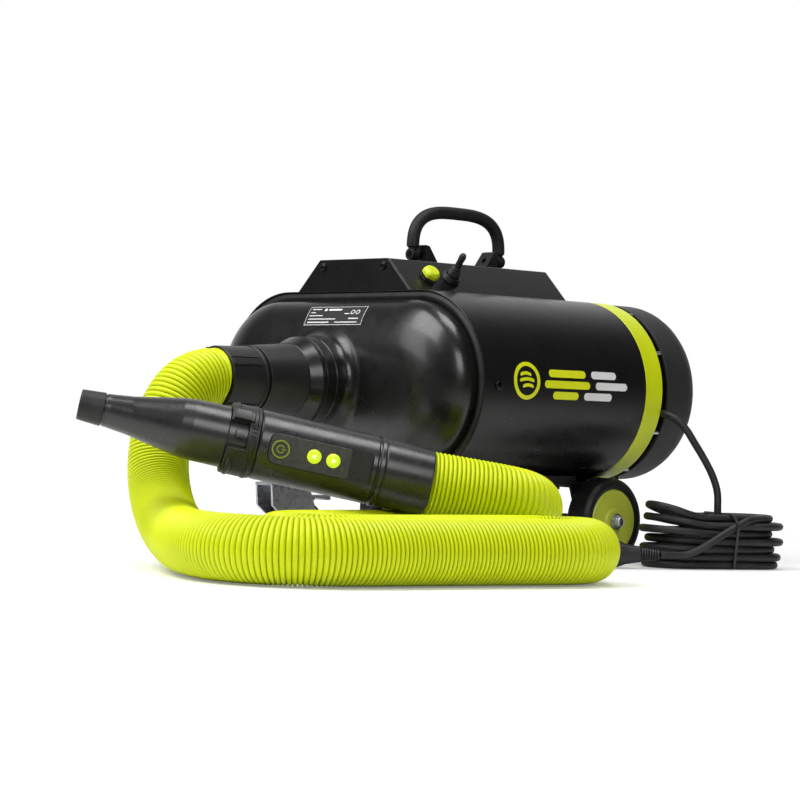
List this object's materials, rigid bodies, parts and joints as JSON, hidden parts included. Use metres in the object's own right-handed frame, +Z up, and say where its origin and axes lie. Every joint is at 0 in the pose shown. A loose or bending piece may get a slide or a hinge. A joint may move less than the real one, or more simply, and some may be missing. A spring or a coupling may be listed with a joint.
{
  "type": "car dryer blower",
  "caption": "Wheeled blower with an obround body, domed front air outlet, ribbed hose and hand nozzle for drying washed vehicles.",
  "frame": {"origin": "centre of the bounding box's footprint, measured without the free hose and mains lead, on the floor", "axes": "+X across the machine to the switch side, +Y from the air outlet to the rear cover, +Z up"},
  "size_m": [0.5874, 0.7296, 0.3533],
  "materials": {
    "shell_black": "satin",
    "band_lime": "gloss",
    "cap_gloss_black": "gloss",
    "plastic_black": "satin",
    "rubber_black": "matte",
    "tyre_black": "matte",
    "zinc_steel": "satin",
    "motor_alloy": "satin",
    "filter_foam": "matte",
    "board_green": "satin",
    "boot_lime": "satin",
    "hose_lime": "satin",
    "hub_olive": "satin",
    "panel_grey": "satin",
    "button_lime": "gloss",
    "button_dark": "satin"
  },
  "bodies": {
    "machine": {"shell": "shell_black", "rear_band": "band_lime", "trim_ring": "rubber_black", "front_cap": "cap_gloss_black", "outlet_ring": "cap_gloss_black", "outlet_collar": "plastic_black", "hose_cuff": "plastic_black", "motor_plate": "zinc_steel", "motor_seals": "rubber_black", "motor_left": "motor_alloy", "motor_right": "motor_alloy", "intake_grille": "plastic_black", "filter_pad": "filter_foam", "rear_cover": "plastic_black", "cover_spacers": "zinc_steel", "top_housing": "shell_black", "front_panel": "shell_black", "panel_screws": "zinc_steel", "speed_controller": "board_green", "breaker_body": "plastic_black", "toggle_body": "plastic_black", "handle_base": "plastic_black", "handle_pins": "zinc_steel", "side_screws": "zinc_steel", "base_plate": "shell_black", "base_bolts": "zinc_steel", "axle_brackets": "shell_black", "rear_axle": "zinc_steel", "axle_nuts": "zinc_steel", "caster_mounts": "zinc_steel", "air_hose": "hose_lime", "handset_body": "plastic_black", "control_panel": "panel_grey", "handset_cuff": "rubber_black", "cord_gland": "rubber_black", "mains_lead": "rubber_black", "cord_hank": "rubber_black", "plug_lead": "rubber_black", "mains_plug": "plastic_black"},
    "rotor_left": {"rotor_left": "motor_alloy"},
    "rotor_right": {"rotor_right": "motor_alloy"},
    "handle": {"handle_arch": "rubber_black"},
    "breaker_button": {"breaker_button": "boot_lime"},
    "toggle_lever": {"toggle_lever": "rubber_black"},
    "wheel_left": {"tyre_left": "tyre_black", "hub_left": "hub_olive"},
    "wheel_right": {"tyre_right": "tyre_black", "hub_right": "hub_olive"},
    "caster_left": {"caster_fork_left": "zinc_steel"},
    "caster_right": {"caster_fork_right": "zinc_steel"},
    "caster_wheel_left": {"caster_wheel_left": "tyre_black"},
    "caster_wheel_right": {"caster_wheel_right": "tyre_black"},
    "caster_brake_left": {"caster_brake_left": "zinc_steel"},
    "caster_brake_right": {"caster_brake_right": "zinc_steel"},
    "nozzle": {"nozzle": "plastic_black", "nozzle_tip": "rubber_black"},
    "lock_ring": {"lock_ring": "plastic_black"},
    "power_button": {"power_button": "button_dark"},
    "slower_button": {"slower_button": "button_lime"},
    "faster_button": {"faster_button": "button_lime"}
  },
  "joints": [
    {"name": "handle_fold", "type": "hinge", "parent": "machine", "child": "handle", "pos_m": [-0.032, 0.1681, 0.302], "axis": [0, 1, 0], "range_deg": [-88, 88]},
    {"name": "rotor_left_spin", "type": "hinge", "parent": "machine", "child": "rotor_left", "pos_m": [-0.122, 0.1261, 0.171], "axis": [0, 1, 0], "continuous": true},
    {"name": "rotor_right_spin", "type": "hinge", "parent": "machine", "child": "rotor_right", "pos_m": [0.058, 0.1261, 0.171], "axis": [0, 1, 0], "continuous": true},
    {"name": "wheel_left_roll", "type": "hinge", "parent": "machine", "child": "wheel_left", "pos_m": [-0.185, 0.2366, 0.0425], "axis": [1, 0, 0], "continuous": true},
    {"name": "wheel_right_roll", "type": "hinge", "parent": "machine", "child": "wheel_right", "pos_m": [0.121, 0.2366, 0.0425], "axis": [1, 0, 0], "continuous": true},
    {"name": "caster_left_swivel", "type": "hinge", "parent": "machine", "child": "caster_left", "pos_m": [-0.154, 0.0441, 0.07], "axis": [0, 0, 1], "continuous": true},
    {"name": "caster_left_roll", "type": "hinge", "parent": "caster_left", "child": "caster_wheel_left", "pos_m": [-0.154, 0.0771, 0.025], "axis": [1, 0, 0], "continuous": true},
    {"name": "caster_left_brake", "type": "hinge", "parent": "caster_left", "child": "caster_brake_left", "pos_m": [-0.154, 0.0701, 0.057], "axis": [1, 0, 0], "range_deg": [-5, 0]},
    {"name": "caster_right_swivel", "type": "hinge", "parent": "machine", "child": "caster_right", "pos_m": [0.09, 0.0441, 0.07], "axis": [0, 0, 1], "continuous": true},
    {"name": "caster_right_roll", "type": "hinge", "parent": "caster_right", "child": "caster_wheel_right", "pos_m": [0.09, 0.0771, 0.025], "axis": [1, 0, 0], "continuous": true},
    {"name": "caster_right_brake", "type": "hinge", "parent": "caster_right", "child": "caster_brake_right", "pos_m": [0.09, 0.0701, 0.057], "axis": [1, 0, 0], "range_deg": [-5, 0]},
    {"name": "breaker_press", "type": "slide", "parent": "machine", "child": "breaker_button", "axis": [-0.7071, 0, -0.7071], "range_m": [0, 0.002], "stiffness_N_per_m": 800, "springref_m": -0.0005},
    {"name": "toggle_flip", "type": "hinge", "parent": "machine", "child": "toggle_lever", "pos_m": [0.03774, 0.0951, 0.27924], "axis": [0.7071, 0, -0.7071], "range_deg": [-22, 0]},
    {"name": "nozzle_pull", "type": "slide", "parent": "machine", "child": "nozzle", "axis": [-0.5546, -0.81, 0.1908], "range_m": [0, 0.03]},
    {"name": "lock_ring_twist", "type": "hinge", "parent": "machine", "child": "lock_ring", "pos_m": [0.09917, -0.2234, 0.11463], "axis": [0.5546, 0.81, -0.1908], "range_deg": [0, 15]},
    {"name": "power_button_press", "type": "slide", "parent": "machine", "child": "power_button", "axis": [-0.8251, 0.565, 0], "range_m": [0, 0.001], "stiffness_N_per_m": 400, "springref_m": -0.0005},
    {"name": "slower_button_press", "type": "slide", "parent": "machine", "child": "slower_button", "axis": [-0.8251, 0.565, 0], "range_m": [0, 0.001], "stiffness_N_per_m": 400, "springref_m": -0.0005},
    {"name": "faster_button_press", "type": "slide", "parent": "machine", "child": "faster_button", "axis": [-0.8251, 0.565, 0], "range_m": [0, 0.001], "stiffness_N_per_m": 400, "springref_m": -0.0005}
  ]
}
